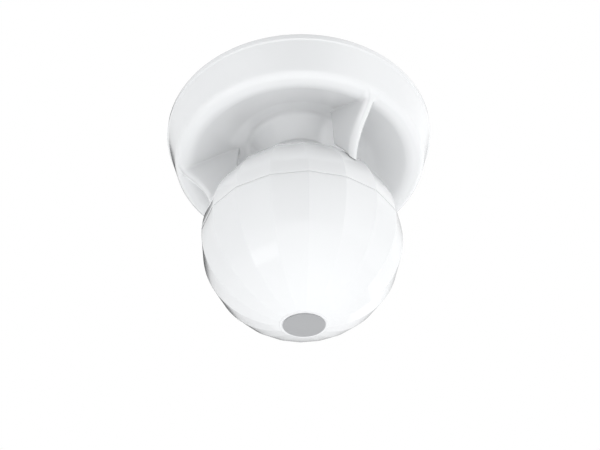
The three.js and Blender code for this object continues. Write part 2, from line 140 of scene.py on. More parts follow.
def plastic(name, colour, rough=0.3, vary=0.03, grain=0.0, grain_scale=900.0, spec=0.5, coat=0.0, coat_rough=0.08,
            rough_vary=0.05, dust=0.0, subsurface=0.0):
    """Moulded plastic: a slow tone drift, fine roughness break-up and a moulded grain."""
    m, nt, b = new_material(name)
    v = coords(nt)
    slow = noise(nt, v, 18.0, 3.0)
    lo = tuple(c * (1 - vary) for c in colour)
    hi = tuple(min(1.0, c * (1 + vary * 0.6)) for c in colour)
    base = ramp(nt, slow, [(0.35, lo), (0.65, hi)])
    if dust:
        fine = noise(nt, v, 1400.0, 2.0)
        speck = ramp(nt, fine, [(0.62, (0, 0, 0)), (0.74, (1, 1, 1))])
        s = nt.nodes.new("ShaderNodeMath")
        s.operation = "MULTIPLY"
        s.inputs[1].default_value = dust
        nt.links.new(speck, s.inputs[0])
        base = mix(nt, s.outputs[0], base, tuple(c * 0.8 for c in colour))
    nt.links.new(base, b.inputs["Base Color"])
    rn = noise(nt, v, 120.0, 5.0)
    nt.links.new(maprange(nt, rn, 0.3, 0.7, max(0.02, rough - rough_vary), rough + rough_vary), b.inputs["Roughness"])
    if grain:
        g = noise(nt, v, grain_scale, 3.0, 0.6)
        bump(nt, b, g, 0.35, grain * MM)
    b.inputs["Specular IOR Level"].default_value = spec
    b.inputs["IOR"].default_value = 1.5
    if coat:
        b.inputs["Coat Weight"].default_value = coat
        b.inputs["Coat Roughness"].default_value = coat_rough
    if subsurface:
        b.inputs["Subsurface Weight"].default_value = subsurface
        b.inputs["Subsurface Radius"].default_value = (0.004, 0.004, 0.004)
        b.inputs["Subsurface Scale"].default_value = 1.0
    return m


def metal(name, colour, rough=0.3, scratch=0.15, stretch=(1, 1, 1), tarnish=None):
    """Worn bright metal: brushed break-up in the roughness, a slight tarnish and fine scratches."""
    m, nt, b = new_material(name)
    v = coords(nt, stretch)
    n1 = noise(nt, v, 260.0, 6.0, 0.65)
    n2 = noise(nt, coords(nt), 90.0, 3.0)
    dull = tarnish or tuple(c * 0.72 for c in colour)
    nt.links.new(ramp(nt, n2, [(0.38, dull), (0.6, colour)]), b.inputs["Base Color"])
    nt.links.new(maprange(nt, n1, 0.3, 0.7, max(0.05, rough - 0.1), rough + 0.12), b.inputs["Roughness"])
    b.inputs["Metallic"].default_value = 1.0
    bump(nt, b, n1, scratch, 0.03 * MM)
    return m


WHITE = (0.745, 0.752, 0.758)
MAT = {}
MAT["white_housing"] = plastic("white_housing", WHITE, rough=0.20, vary=0.008, grain=0.0, spec=0.5, rough_vary=0.03, coat=0.9, coat_rough=0.035)
MAT["badge_grey"] = plastic("badge_grey", (0.345, 0.348, 0.356), rough=0.34, vary=0.04, grain=0.02, grain_scale=1500)
MAT["plate_plastic"] = plastic("plate_plastic", (0.70, 0.70, 0.675), rough=0.46, vary=0.03, grain=0.05, grain_scale=700, dust=0.2)
MAT["black_insulator"] = plastic("black_insulator", (0.030, 0.032, 0.036), rough=0.5, vary=0.15, grain=0.05, grain_scale=1100, dust=0.3)
MAT["black_rubber"] = plastic("black_rubber", (0.022, 0.022, 0.025), rough=0.72, vary=0.2, grain=0.06, grain_scale=700, dust=0.35)
MAT["contact_brass"] = metal("contact_brass", (0.80, 0.60, 0.26), 0.26, tarnish=(0.62, 0.44, 0.18))
MAT["screw_steel"] = metal("screw_steel", (0.66, 0.67, 0.70), 0.28)
MAT["shield_tin"] = metal("shield_tin", (0.72, 0.73, 0.74), 0.3, stretch=(1, 8, 1))
MAT["relay_blue"] = plastic("relay_blue", (0.022, 0.105, 0.38), rough=0.36, vary=0.06, grain=0.03, grain_scale=1200)
MAT["ferrite"] = plastic("ferrite", (0.045, 0.045, 0.050), rough=0.62, vary=0.2, grain=0.08, grain_scale=900, dust=0.4)
MAT["capacitor_sleeve"] = plastic("capacitor_sleeve", (0.018, 0.026, 0.055), rough=0.24, vary=0.1, coat=0.3)
MAT["varistor_blue"] = plastic("varistor_blue", (0.03, 0.14, 0.48), rough=0.25, vary=0.08, grain=0.15, grain_scale=180, coat=0.4)
MAT["nylon_natural"] = plastic("nylon_natural", (0.72, 0.69, 0.60), rough=0.42, vary=0.03, grain=0.02)
MAT["chip_black"] = plastic("chip_black", (0.014, 0.014, 0.016), rough=0.55, vary=0.2, grain=0.04, grain_scale=1500)
MAT["led_red"] = plastic("led_red", (0.55, 0.03, 0.02), rough=0.12, vary=0.05)
MAT["sensor_clear"] = plastic("sensor_clear", (0.62, 0.67, 0.70), rough=0.08, vary=0.03)
MAT["trimmer_blue"] = plastic("trimmer_blue", (0.03, 0.16, 0.46), rough=0.42, vary=0.06, grain=0.02)
MAT["dial_white"] = plastic("dial_white", (0.76, 0.75, 0.71), rough=0.38, vary=0.02, grain=0.02)
MAT["lead_brown"] = plastic("lead_brown", (0.13, 0.045, 0.018), rough=0.4, vary=0.1)
MAT["lead_blue"] = plastic("lead_blue", (0.02, 0.09, 0.38), rough=0.4, vary=0.1)
MAT["lead_black"] = plastic("lead_black", (0.02, 0.02, 0.02), rough=0.4, vary=0.1)
MAT["lead_earth"] = plastic("lead_earth", (0.07, 0.27, 0.05), rough=0.4, vary=0.1)


def winding_material():
    m, nt, b = new_material("winding_tape")
    v = coords(nt)
    w = nt.nodes.new("ShaderNodeTexWave")
    w.wave_type, w.bands_direction = "BANDS", "Z"
    w.inputs["Scale"].default_value = 240.0
    w.inputs["Distortion"].default_value = 0.6
    w.inputs["Detail"].default_value = 1.0
    nt.links.new(v, w.inputs["Vector"])
    nt.links.new(ramp(nt, w.outputs["Fac"], [(0.2, (0.60, 0.40, 0.03)), (0.7, (0.78, 0.55, 0.06))]), b.inputs["Base Color"])
    nt.links.new(maprange(nt, noise(nt, v, 300, 4), 0.3, 0.7, 0.2, 0.42), b.inputs["Roughness"])
    bump(nt, b, w.outputs["Fac"], 0.4, 0.1 * MM)
    return m


def board_material():
    """Solder resist over copper: routed tracks from a folded cell pattern, with a fine weave in the gloss."""
    m, nt, b = new_material("green_board")
    v = coords(nt)
    br = nt.nodes.new("ShaderNodeTexBrick")
    br.inputs["Scale"].default_value = 170.0
    br.inputs["Mortar Size"].default_value = 0.16
    br.inputs["Mortar Smooth"].default_value = 0.1
    br.inputs["Brick Width"].default_value = 1.3
    br.inputs["Row Height"].default_value = 0.32
    br.offset = 0.37
    br.offset_frequency = 3
    br.squash = 0.6
    br.squash_frequency = 5
    nt.links.new(v, br.inputs["Vector"])
    zones = noise(nt, v, 45.0, 1.0)
    mask = ramp(nt, zones, [(0.46, (0, 0, 0)), (0.5, (1, 1, 1))])
    mul = nt.nodes.new("ShaderNodeMath")
    mul.operation = "MULTIPLY"
    nt.links.new(br.outputs["Fac"], mul.inputs[0])
    nt.links.new(mask, mul.inputs[1])
    slow = ramp(nt, noise(nt, v, 30.0, 3.0), [(0.3, (0.012, 0.115, 0.045)), (0.7, (0.018, 0.150, 0.060))])
    nt.links.new(mix(nt, mul.outputs[0], slow, (0.045, 0.26, 0.085)), b.inputs["Base Color"])
    nt.links.new(maprange(nt, noise(nt, v, 900, 2), 0.3, 0.7, 0.22, 0.4), b.inputs["Roughness"])
    bump(nt, b, mul.outputs[0], 0.5, 0.04 * MM)
    b.inputs["Coat Weight"].default_value = 0.3
    b.inputs["Coat Roughness"].default_value = 0.2
    return m


MAT["winding_tape"] = winding_material()
MAT["green_board"] = board_material()
MAT["copper"] = metal("copper", (0.86, 0.62, 0.33), 0.3, tarnish=(0.70, 0.46, 0.22))
MAT["solder"] = metal("solder", (0.62, 0.63, 0.64), 0.22)
MAT["smd_tan"] = plastic("smd_tan", (0.33, 0.21, 0.11), rough=0.45, vary=0.1)

for sub in frame["record"]["subparts"]:
    o = NODES[sub["node"]]
    o.data.materials.clear()
    o.data.materials.append(MAT[sub["material_slot"]])
    for p in o.data.polygons:
        p.material_index = 0


# ------------------------------------------------------------------ mesh code
def make(name, verts, faces, slot, body, replaces=(), angle=35.0):
    me = bpy.data.meshes.new(name)
    me.from_pydata([tuple(float(c) * MM for c in v) for v in verts], [], [tuple(int(i) for i in f) for f in faces])
    me.validate()
    me.update()
    o = bpy.data.objects.new(name, me)
    scene.collection.objects.link(o)
    me.materials.append(MAT[slot])
    for p in me.polygons:
        p.use_smooth = True
    me.set_sharp_from_angle(angle=math.radians(angle))
    fix_normals(o)
    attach(o, body)
    if replaces:
        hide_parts(*replaces)
    return o


def fix_normals(o):
    import bmesh
    bm = bmesh.new()
    bm.from_mesh(o.data)
    bmesh.ops.remove_doubles(bm, verts=bm.verts, dist=1e-7)
    bmesh.ops.recalc_face_normals(bm, faces=bm.faces)
    bm.to_mesh(o.data)
    bm.free()
    o.data.update()


def fillet(points, seg=0.35, closed=False):
    """Polyline with a radius at each corner: [(x, y, r), ...] to [(x, y), ...] with tangent arcs."""
    pts = [np.array(p[:2], float) for p in points]
    rad = [p[2] if len(p) > 2 else 0.0 for p in points]
    n = len(pts)
    out = []
    for i in range(n):
        if (not closed and i in (0, n - 1)) or rad[i] <= 0:
            out.append(pts[i])
            continue
        a, b, c = pts[i - 1], pts[i], pts[(i + 1) % n]
        u, w = (a - b) / np.linalg.norm(a - b), (c - b) / np.linalg.norm(c - b)
        ang = math.acos(float(np.clip(np.dot(u, w), -1, 1)))
        if abs(math.pi - ang) < 1e-3:
            out.append(b)
            continue
        t = rad[i] / math.tan(ang / 2)
        lim = 0.499 * min(np.linalg.norm(a - b), np.linalg.norm(c - b)) if not closed else 0.499 * min(np.linalg.norm(a - b), np.linalg.norm(c - b))
        r = rad[i]
        if t > lim * 1.999:
            t = lim * 1.999
            r = t * math.tan(ang / 2)
        mid = (u + w) / np.linalg.norm(u + w)
        cen = b + mid * (r / math.sin(ang / 2))
        p0, p1 = b + u * t, b + w * t
        a0 = math.atan2(*(p0 - cen)[::-1])
        a1 = math.atan2(*(p1 - cen)[::-1])
        d = (a1 - a0 + math.pi) % (2 * math.pi) - math.pi
        k = max(3, int(math.ceil(abs(d) * r / seg)), int(math.ceil(abs(d) / math.radians(12))))
        for j in range(k + 1):
            t_ = a0 + d * j / k
            out.append(cen + r * np.array([math.cos(t_), math.sin(t_)]))
    keep = [out[0]]
    for p in out[1:]:
        if np.linalg.norm(p - keep[-1]) > 1e-4:
            keep.append(p)
    if closed and np.linalg.norm(keep[0] - keep[-1]) < 1e-4:
        keep.pop()
    return [tuple(p) for p in keep]


def split_long(poly, longest, closed=False):
    out = []
    n = len(poly)
    for i in range(n if closed else n - 1):
        a, b = np.array(poly[i]), np.array(poly[(i + 1) % n])
        k = max(1, int(math.ceil(np.linalg.norm(b - a) / longest)))
        out += [tuple(a + (b - a) * j / k) for j in range(k)]
    if not closed:
        out.append(tuple(poly[-1]))
    return out


def revolve(profile, n, closed=True, centre=(0, 0), phase=0.0):
    """(r, z) profile turned about the vertical; a closed profile makes a ring, an open one runs from axis to axis."""
    verts, faces = [], []
    m = len(profile)
    rings = []
    for r, z in profile:
        if r < 1e-6:
            rings.append([len(verts)])
            verts.append((centre[0], centre[1], z))
        else:
            rings.append(list(range(len(verts), len(verts) + n)))
            for k in range(n):
                a = phase + 2 * math.pi * k / n
                verts.append((centre[0] + r * math.cos(a), centre[1] + r * math.sin(a), z))
    for i in range(m if closed else m - 1):
        A, B = rings[i], rings[(i + 1) % m]
        for k in range(n):
            k2 = (k + 1) % n
            if len(A) == 1 and len(B) == 1:
                break
            if len(A) == 1:
                faces.append((A[0], B[k], B[k2]))
            elif len(B) == 1:
                faces.append((A[k], B[0], A[k2]))
            else:
                faces.append((A[k], B[k], B[k2], A[k2]))
    return verts, faces


def add(parts, verts, faces):
    base = len(parts[0])
    parts[0].extend(verts)
    parts[1].extend([tuple(i + base for i in f) for f in faces])


def turned(verts, deg, shift=(0, 0, 0)):
    c, s = math.cos(math.radians(deg)), math.sin(math.radians(deg))
    return [(c * x - s * y + shift[0], s * x + c * y + shift[1], z + shift[2]) for x, y, z in verts]


def rounded_box(w, d, h, r, k=3):
    """Box centred on the origin with all edges rounded to r."""
    r = min(r, 0.499 * min(w, d, h))
    verts, faces, rings = [], [], []
    levels = [(-h / 2 + r - r * math.cos(math.pi / 2 * j / k), r * math.sin(math.pi / 2 * j / k)) for j in range(k + 1)]
    levels += [(-z, q) for z, q in reversed(levels)]
    for z, q in levels:
        ringv = []
        for sx, sy, a0 in ((1, 1, 0), (-1, 1, 90), (-1, -1, 180), (1, -1, 270)):
            for j in range(k + 1):
                a = math.radians(a0 + 90 * j / k)
                ringv.append((sx * (w / 2 - r) + q * math.cos(a), sy * (d / 2 - r) + q * math.sin(a), z))
        rings.append(list(range(len(verts), len(verts) + len(ringv))))
        verts += ringv
    n = len(rings[0])
    for A, B in zip(rings, rings[1:]):
        for i in range(n):
            faces.append((A[i], A[(i + 1) % n], B[(i + 1) % n], B[i]))
    faces.append(tuple(reversed(rings[0])))
    faces.append(tuple(rings[-1]))
    return verts, faces


# ------------------------------------------------------------------ canopy
ROOM = [
    (72.7, 0.0, 0.25), (75.0, 0.0, 0.55), (74.95, -3.5, 0.5), (74.2, -4.15, 0.6), (68.1, -23.0, 4.6), (60.4, -23.0, 9.5),
    (38.3, -8.05, 18.0), (28.9, -4.7, 3.2), (20.65, -16.55, 0.5), (19.35, -16.95, 0.4), (18.2, NECK_Z - 0.05, 0.4),
]
CEIL = [
    (15.8, NECK_Z - 0.05, 0.3), (17.8, -17.0, 8.0), (25.6, -4.5, 4.0), (29.2, -3.0, 3.0), (34.5, -4.1, 8.0), (40.0, -6.9, 8.0),
    (56.6, -18.0, 8), (61.0, -20.6, 3.0), (66.6, -20.5, 2.0), (71.8, -4.0, 0),
]
profile = fillet(ROOM + CEIL, seg=0.6, closed=True)
profile = split_long(profile, 2.2, closed=True)
CANOPY_N = 240
dish_v, dish_f = revolve(profile, CANOPY_N)

# room-side curve of the dish, from the neck out to the lip crest, for seating the fins
room_curve = np.array([p for p in fillet(ROOM, seg=0.25)])


def dish_z(r):
    pts = room_curve[(room_curve[:, 0] > 29.0) & (room_curve[:, 0] < 68.0) & (room_curve[:, 1] < -4.5)]
    pts = pts[np.argsort(pts[:, 0])]
    return float(np.interp(r, pts[:, 0], pts[:, 1]))


def ball_mid_z(r):
    return BALL_Z + FLATTEN * math.sqrt(BALL_R ** 2 - (r / math.cos(math.pi / GORES)) ** 2)


def poly_dist(p, poly):
    a, b = poly[:-1], poly[1:]
    ab = b - a
    t = np.clip(((p - a) * ab).sum(1) / np.maximum((ab ** 2).sum(1), 1e-12), 0, 1)
    return float(np.min(np.linalg.norm(a + ab * t[:, None] - p, axis=1)))


def spline(points, n):
    """Centripetal Catmull-Rom through the points, n samples."""
    P = [np.array(p, float) for p in points]
    P = [2 * P[0] - P[1]] + P + [2 * P[-1] - P[-2]]
    out = []
    segs = len(P) - 3
    for i in range(segs):
        p0, p1, p2, p3 = P[i:i + 4]
        t0 = 0.0
        t1 = t0 + np.linalg.norm(p1 - p0) ** 0.5
        t2 = t1 + np.linalg.norm(p2 - p1) ** 0.5
        t3 = t2 + np.linalg.norm(p3 - p2) ** 0.5
        for t in np.linspace(t1, t2, 24, endpoint=(i == segs - 1)):
            A1 = (t1 - t) / (t1 - t0) * p0 + (t - t0) / (t1 - t0) * p1
            A2 = (t2 - t) / (t2 - t1) * p1 + (t - t1) / (t2 - t1) * p2
            A3 = (t3 - t) / (t3 - t2) * p2 + (t - t2) / (t3 - t2) * p3
            B1 = (t2 - t) / (t2 - t0) * A1 + (t - t0) / (t2 - t0) * A2
            B2 = (t3 - t) / (t3 - t1) * A2 + (t - t1) / (t3 - t1) * A3
            out.append((t2 - t) / (t2 - t1) * B1 + (t - t1) / (t2 - t1) * B2)
    out = np.array(out)
    d = np.concatenate([[0], np.cumsum(np.linalg.norm(np.diff(out, axis=0), axis=1))])
    s = np.linspace(0, d[-1], n)
    return np.stack([np.interp(s, d, out[:, k]) for k in range(out.shape[1])], 1)


NOSE, INNER_ROUND, FOOT_ROUND = 2.55, 1.1, 0.55    # rounding of the fin's free edges
H0 = FIN_T / 2
outer_edge = spline([(67.0, -22.2), (65.4, -23.6), (63.0, -26.6), (59.4, -30.2), (55.4, -34.2), (51.9, -39.0), (49.1, -44.6),
                     (47.1, ball_mid_z(47.1) + 0.95)], 80)
inner_edge = spline([(33.9, -6.2), (34.3, -10.5), (34.6, -20.0), (35.0, ball_mid_z(35.0) + 3.6)], 60)
foot_edge = spline([(r, ball_mid_z(r) + g) for r, g in ((35.0, 3.6), (36.8, 2.2), (39.2, 1.4), (42.2, 1.05), (44.6, 0.95), (47.1, 0.95))], 60)


def flare(r):
    """Fillet between fin and dish: small by the neck, broad where the fin runs into the lip."""
    t = min(1.0, max(0.0, (r - 54.0) / 11.0))
    return 0.8 + 1.9 * t * t * (3 - 2 * t)


def along(curve, t):
    x = t * (len(curve) - 1)
    i = min(int(x), len(curve) - 2)
    return curve[i] + (curve[i + 1] - curve[i]) * (x - i)


def foot(t):
    return along(foot_edge, t)


def top(t):
    r = inner_edge[0][0] + (outer_edge[0][0] - inner_edge[0][0]) * t
    return np.array([r, dish_z(r)])


dish_line = np.array([top(t) for t in np.linspace(0, 1, 160)])


def coons(u, v):
    L, R = along(inner_edge, v), along(outer_edge, v)
    T, B = top(u), foot(u)
    return ((1 - u) * L + u * R + (1 - v) * T + v * B
            - ((1 - u) * (1 - v) * inner_edge[0] + u * (1 - v) * outer_edge[0] + (1 - u) * v * inner_edge[-1] + u * v * outer_edge[-1]))


def rounded(e, rho):
    return H0 if e >= rho else H0 - rho + math.sqrt(max(0.0, rho * rho - (rho - e) ** 2))


def fin_mesh():
    quarter = np.linspace(0, 90, 8)
    arc = lambda rho: [rho * (1 - math.cos(math.radians(a))) for a in quarter]
    vs = [0.0, 0.004, 0.012, 0.024, 0.040, 0.060, 0.085, 0.115, 0.15] + list(np.linspace(0.2, 0.93, 18))
    vs += [1 - x / 24.0 for x in arc(FOOT_ROUND)]
    vs = sorted(set(round(v, 5) for v in vs))
    rows = []
    for v in vs:
        L, R = along(inner_edge, v), along(outer_edge, v)
        w = np.linalg.norm(R - L)
        left = [a / w for a in arc(INNER_ROUND)]
        right = [a / w for a in arc(NOSE)]
        mid = list(np.linspace(left[-1], 1 - right[-1], 22))[1:-1]
        rows.append([(u, v) for u in left + mid + [1 - x for x in reversed(right)]])
    n = len(rows[0])
    P = np.array([[coons(u, v) for u, v in row] for row in rows])
    Y = np.zeros(P.shape[:2])
    for i in range(P.shape[0]):
        for j in range(n):
            p = P[i, j]
            y = min(rounded(poly_dist(p, inner_edge), INNER_ROUND), rounded(poly_dist(p, outer_edge), NOSE),
                    rounded(poly_dist(p, foot_edge), FOOT_ROUND))
            d = poly_dist(p, dish_line)
            fl = flare(p[0])
            if d < fl:
                y += fl - math.sqrt(max(0.0, fl ** 2 - (fl - d) ** 2))
            Y[i, j] = y
    # the buried row, inside the dish wall
    lift = np.array([[-0.15, 0.75]])
    P = np.concatenate([P[:1] + lift, P], 0)
    Y = np.concatenate([Y[:1], Y], 0)
    verts, faces = [], []
    R_, C_ = P.shape[:2]
    idx = {}
    for side in (1, -1):
        for i in range(R_):
            for j in range(n):
                key = (side, i, j)
                if Y[i, j] < 1e-4:
                    k0 = (1, i, j)
                    if side == -1 and k0 in idx:
                        idx[key] = idx[k0]
                        continue
                idx[key] = len(verts)
                verts.append((P[i, j, 0], side * Y[i, j], P[i, j, 1]))
    for side in (1, -1):
        for i in range(R_ - 1):
            for j in range(n - 1):
                q = [idx[(side, i, j)], idx[(side, i, j + 1)], idx[(side, i + 1, j + 1)], idx[(side, i + 1, j)]]
                if side == -1:
                    q = q[::-1]
                q = [a for k, a in enumerate(q) if a != q[k - 1]]
                if len(q) >= 3:
                    faces.append(tuple(q))
    # close any open rim between the two sides
    def strip(pairs):
        for (a, b), (c, d) in zip(pairs, pairs[1:]):
            q = [a, b, d, c]
            q = [x for k, x in enumerate(q) if x != q[k - 1]]
            if len(set(q)) >= 3:
                faces.append(tuple(q))
    strip([(idx[(1, 0, j)], idx[(-1, 0, j)]) for j in range(n)])
    strip([(idx[(1, R_ - 1, j)], idx[(-1, R_ - 1, j)]) for j in range(n)])
    strip([(idx[(1, i, 0)], idx[(-1, i, 0)]) for i in range(R_)])
    strip([(idx[(1, i, n - 1)], idx[(-1, i, n - 1)]) for i in range(R_)])
    return verts, faces


parts = ([], [])
add(parts, dish_v, dish_f)
fv, ff = fin_mesh()
for a in FIN_ANGLES:
    add(parts, turned(fv, a), ff)
# bayonet lugs and hub bosses on the ceiling side
for a in (0, 120, 240):
    lug = ([], [])
    n = 12
    ringv = []
    for r, z in ((65.3, -5.8), (65.3, -7.8), (71.4, -7.8), (71.8, -5.8)):
        for k in range(n + 1):
            t = math.radians(-6 + 12 * k / n)
            ringv.append((r * math.cos(t), r * math.sin(t), z))
    fs = []
    for q in range(4):
        for k in range(n):
            A = q * (n + 1) + k
            B = ((q + 1) % 4) * (n + 1) + k
            fs.append((A, A + 1, B + 1, B))
    fs.append((0, n + 1, 2 * (n + 1), 3 * (n + 1)))
    fs.append((n, 3 * (n + 1) + n, 2 * (n + 1) + n, (n + 1) + n))
    add(parts, turned(ringv, a), fs)
    bv, bf = revolve(fillet([(1.35, NECK_Z - 0.05, 0), (2.9, NECK_Z - 0.05, 0.2), (2.9, -14.4, 0.3), (1.35, -14.4, 0)], closed=True), 32, centre=(13, 0))
    add(parts, turned(bv, a), bf)
    rv, rf = rounded_box(3.4, 2.4, 10.4, 0.4)
    add(parts, turned([(x + 16.2, y, z - 19.8) for x, y, z in rv], a), rf)
canopy = make("canopy_moulding", *parts, "white_housing", "head", ["canopy"], angle=40)


# ------------------------------------------------------------------ ball
def gored_ring(rc, z, sub=3, soft=3.0):
    """One turn of the eighteen-sided section with softened gore edges, rc at the edges."""
    pts = []
    rho = min(soft, rc * 0.12)
    half = math.pi / GORES
    apothem = rc * math.cos(half)
    # corner rounding of radius rho: tangent length along the flat
    t = rho * math.tan(half)
    flat_half = rc * math.sin(half) - t
    k_arc = 4
    for g in range(GORES):
        mid = math.radians(20 * g)             # mid-gore azimuths are multiples of 20 degrees
        c, s = math.cos(mid), math.sin(mid)
        for q in range(sub + 1):
            y = -flat_half + 2 * flat_half * q / sub
            pts.append((apothem * c - y * s, apothem * s + y * c, z))
        edge = mid + half
        cen = (apothem - rho) / math.cos(half)
        cx, cy = cen * math.cos(edge), cen * math.sin(edge)
        for q in range(1, k_arc):
            a = mid + 2 * half * q / k_arc
            pts.append((cx + rho * math.cos(a), cy + rho * math.sin(a), z))
    return pts


def stack(rings, cap_low=False, cap_high=False, closed=False):
    verts, faces = [], []
    n = len(rings[0])
    for r in rings:
        verts += r
    m = len(rings)
    for i in range(m if closed else m - 1):
        j = (i + 1) % m
        for k in range(n):
            faces.append((i * n + k, i * n + (k + 1) % n, j * n + (k + 1) % n, j * n + k))
    return verts, faces


def arc_profile(radius, z0, z1, n):
    ang = lambda z: math.asin((z - BALL_Z) / (radius * (FLATTEN if z > BALL_Z else 1)))
    return [(radius * math.cos(a), BALL_Z + radius * math.sin(a) * (FLATTEN if a > 0 else 1)) for a in np.linspace(ang(z0), ang(z1), n)]


SEAM_HALF = 0.13
LIP = 0.28
R_IN = BALL_R - WALL

# upper shell: outer gores up to the flat land, through the hole, inner gores back down
out_up = arc_profile(BALL_R, SEAM_Z + SEAM_HALF + LIP, BALL_TOP_Z, 46)
in_up = arc_profile(R_IN, SEAM_Z + SEAM_HALF, BALL_TOP_Z - WALL, 30)
rings = [gored_ring(BALL_R - WALL, SEAM_Z + SEAM_HALF)]
rings.append(gored_ring(BALL_R - LIP, SEAM_Z + SEAM_HALF))
rings.append(gored_ring(BALL_R - LIP * 0.29, SEAM_Z + SEAM_HALF + LIP * 0.29))
rings += [gored_ring(r, z) for r, z in out_up]
n_ring = len(rings[0])


def round_ring(r, z):
    pts = gored_ring(BALL_R, 0)
    return [(r * x / math.hypot(x, y), r * y / math.hypot(x, y), z) for x, y, _ in pts]


def to_wall(p):
    """Point lifted or lowered to the middle of the upper shell's wall."""
    r = math.hypot(p[0], p[1]) / math.cos(math.pi / GORES)
    return (p[0], p[1], BALL_Z + FLATTEN * math.sqrt((BALL_R - WALL / 2) ** 2 - r ** 2))


rings.append(round_ring(13.0, BALL_TOP_Z))
rings.append(round_ring(8.3, BALL_TOP_Z))
rings.append(round_ring(8.05, BALL_TOP_Z - 0.25))
rings.append(round_ring(8.05, BALL_TOP_Z - WALL + 0.25))
rings.append(round_ring(8.3, BALL_TOP_Z - WALL))
rings += [gored_ring(r, z) for r, z in reversed(in_up)][:-1]
up = ([], [])
add(up, *stack(rings, closed=True))
for a in (30, 150, 270):
    x, y = 34 * math.cos(math.radians(a)), 34 * math.sin(math.radians(a))
    bv, bf = revolve(fillet([(1.45, -60.95, 0.15), (3.4, -60.95, 0.25), (3.9, -38.6, 0), (1.45, -38.6, 0)], closed=True), 32, centre=(x, y))
    add(up, [to_wall(p) if p[2] > -39 else p for p in bv], bf)
    for da in (0, 90, 180, 270):
        gv, gf = rounded_box(3.2, 1.1, 14.0, 0.3)
        gv = [(p[0] + 4.4, p[1], p[2] - 46.0) for p in gv]
        add(up, [to_wall(p) if p[2] > -42 else p for p in turned(gv, a + da, (x, y, 0))], gf)
upper = make("ball_upper_shell", *up, "white_housing", "head", ["upper_shell"], angle=28)

# lower shell
out_low = arc_profile(BALL_R, BALL_BOTTOM_Z + 0.25, SEAM_Z - SEAM_HALF - LIP, 48)
in_low = arc_profile(R_IN, BALL_Z - R_IN + 0.9, SEAM_Z - SEAM_HALF, 36)
rings = [gored_ring(r, z) for r, z in out_low]
rings.append(gored_ring(BALL_R - LIP * 0.29, SEAM_Z - SEAM_HALF - LIP * 0.29))
rings.append(gored_ring(BALL_R - LIP, SEAM_Z - SEAM_HALF))
rings += [gored_ring(r, z) for r, z in reversed(in_low)]
vi, fi = stack(rings)
n_r = len(rings[0])
c0, c1 = len(vi), len(vi) + 1
low_outer_r = out_low[0][0]
rings_b = [gored_ring(low_outer_r - 0.25, BALL_BOTTOM_Z, soft=3.0), round_ring(6.0, BALL_BOTTOM_Z), round_ring(0.5, BALL_BOTTOM_Z)]
low = ([], [])
first = rings_b[::-1]
rings_all = first + rings + [round_ring(0.5, in_low[0][1] - 0.02)]
add(low, *stack(rings_all))
low[1].append(tuple(range(n_r)))
low[1].append(tuple(range((len(rings_all) - 1) * n_r, len(rings_all) * n_r)))
spig = fillet([(45.5, -66.3, 0.25), (46.5, -66.3, 0.2), (47.0, -66.9, 0.2), (47.0, -68.3, 0.15), (46.0, -68.3, 0.1), (46.0, -69.9, 0.1),
               (47.0, -69.9, 0.15), (47.0, -72.2, 0), (48.3, -74.5, 0), (47.4, -76.4, 0), (45.5, -72.6, 0.5)], seg=0.15, closed=True)
add(low, *revolve(spig, 180))
rv, rf = rounded_box(13.4, 4.3, 1.5, 0.3)
add(low, [(x + 39.4, y, z - 71.65) for x, y, z in rv], rf)
rv, rf = rounded_box(7.0, 1.8, 5.2, 0.3)
add(low, [(x + 42.6, y, z - 74.7) for x, y, z in rv], rf)
lower = make("ball_lower_shell", *low, "white_housing", "lower_cover", ["lower_shell"], angle=28)

gasket = make("seam_gasket_cord", *revolve(fillet([(46.1, -69.75, 0.3), (47.8, -69.75, 0.45), (47.8, -68.45, 0.45), (46.1, -68.45, 0.3)], seg=0.15, closed=True), 180),
              "black_rubber", "lower_cover", ["seam_gasket"])

bz = BALL_BOTTOM_Z
badge = make("blank_badge", *revolve(fillet([(0, bz + 0.02, 0), (BADGE_R - 0.05, bz + 0.02, 0.05), (BADGE_R, bz - 0.5, 0.22), (9.0, bz - 0.62, 0.1),
             (8.75, bz - 0.56, 0.08), (8.5, bz - 0.62, 0.1), (0, bz - 0.68, 0)], seg=0.08), 144, closed=False),
             "badge_grey", "lower_cover", ["badge"], angle=30)


# ------------------------------------------------------------------ small parts on the lower side of the boards
def block(parts, x0, x1, y0, y1, z0, z1):
    v = [(x, y, z) for z in (z0, z1) for y in (y0, y1) for x in (x0, x1)]
    add(parts, v, [(0, 2, 3, 1), (4, 5, 7, 6), (0, 1, 5, 4), (2, 6, 7, 3), (0, 4, 6, 2), (1, 3, 7, 5)])


BOARD_UNDER, RADAR_UNDER = -62.8, -73.6            # lower faces of the two boards
# patch aerials with their feed lines, on the lower face of the radar board
aerial = ([], [])
for cx in (-9.0, 9.0):
    for cy in (-6.0, 7.0):
        block(aerial, cx - 3.9, cx + 3.9, cy - 3.1, cy + 3.1, RADAR_UNDER - 0.05, RADAR_UNDER + 0.02)
    block(aerial, cx - 0.25, cx + 0.25, -2.9, 3.9, RADAR_UNDER - 0.045, RADAR_UNDER + 0.02)
    block(aerial, min(cx, 2.0 * cx / 9), max(cx, 2.0 * cx / 9), 0.25, 0.75, RADAR_UNDER - 0.045, RADAR_UNDER + 0.02)
for k in range(6):
    x = -6.35 + 2.54 * k
    v, f = revolve(fillet([(0.35, RADAR_UNDER - 0.05, 0), (0.95, RADAR_UNDER - 0.05, 0), (0.95, RADAR_UNDER + 0.02, 0), (0.35, RADAR_UNDER + 0.02, 0)], closed=True), 20, centre=(x, 14.5))
    add(aerial, v, f)
make("aerial_copper", *aerial, "copper", "head", angle=30)

# solder joints: header pins on the radar board; relay, transformer, capacitors, varistor, plug and trimmers on the main board
joints = ([], [])


